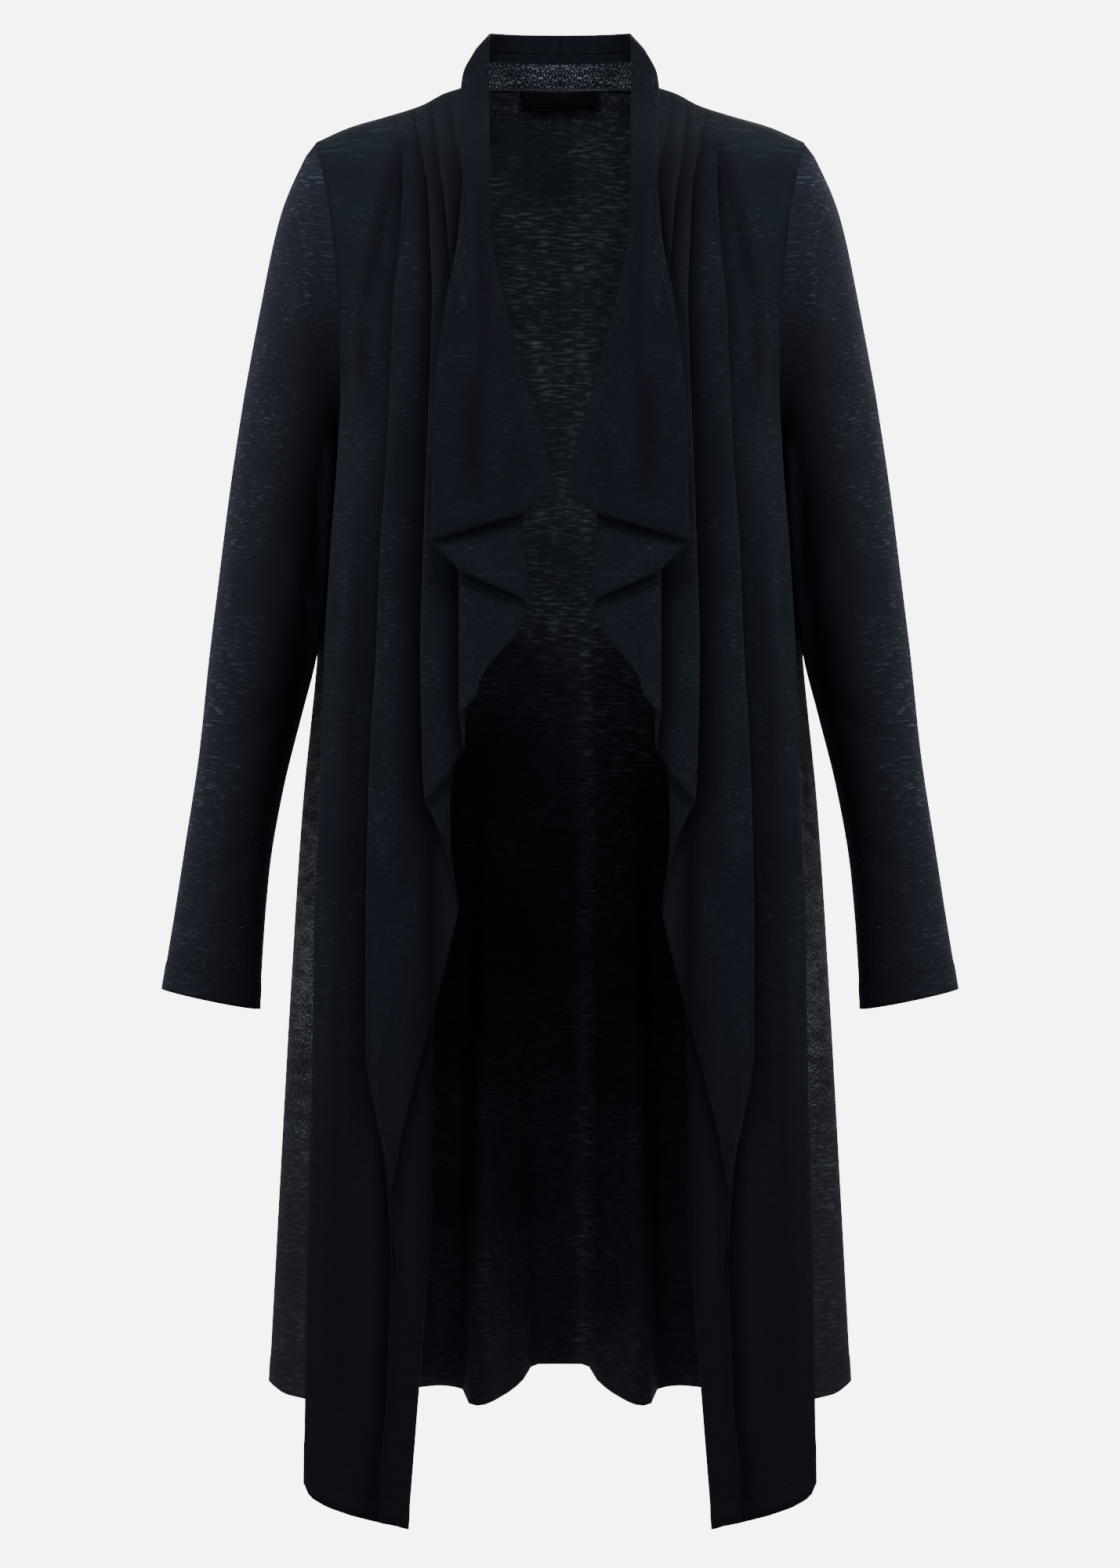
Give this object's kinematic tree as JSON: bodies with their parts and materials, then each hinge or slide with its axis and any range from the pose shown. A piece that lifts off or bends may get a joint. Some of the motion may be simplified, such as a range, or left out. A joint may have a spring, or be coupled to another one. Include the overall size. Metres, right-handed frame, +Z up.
{
  "type": "waterfall cardigan",
  "caption": "Long open waterfall cardigan in very dark navy slub jersey, worn form with no wearer, stand collar and draped front edges.",
  "frame": {"origin": "midway between the two neck points of the shoulder seams, where the shoulders carry the garment", "axes": "+Z up; -Y the way the wearer would face; +X to the wearer's left, which is the viewer's right from the front"},
  "size_m": [0.5492, 0.2626, 1.031],
  "materials": {
    "slub_jersey": "matt, fine semi-sheer slub knit",
    "label_weave": "smooth woven satin, bare"
  },
  "bodies": {
    "root": {"back": "slub_jersey", "front_right": "slub_jersey", "front_left": "slub_jersey", "sleeve_right": "slub_jersey", "sleeve_left": "slub_jersey", "neck_label": "label_weave"}
  },
  "joints": []
}
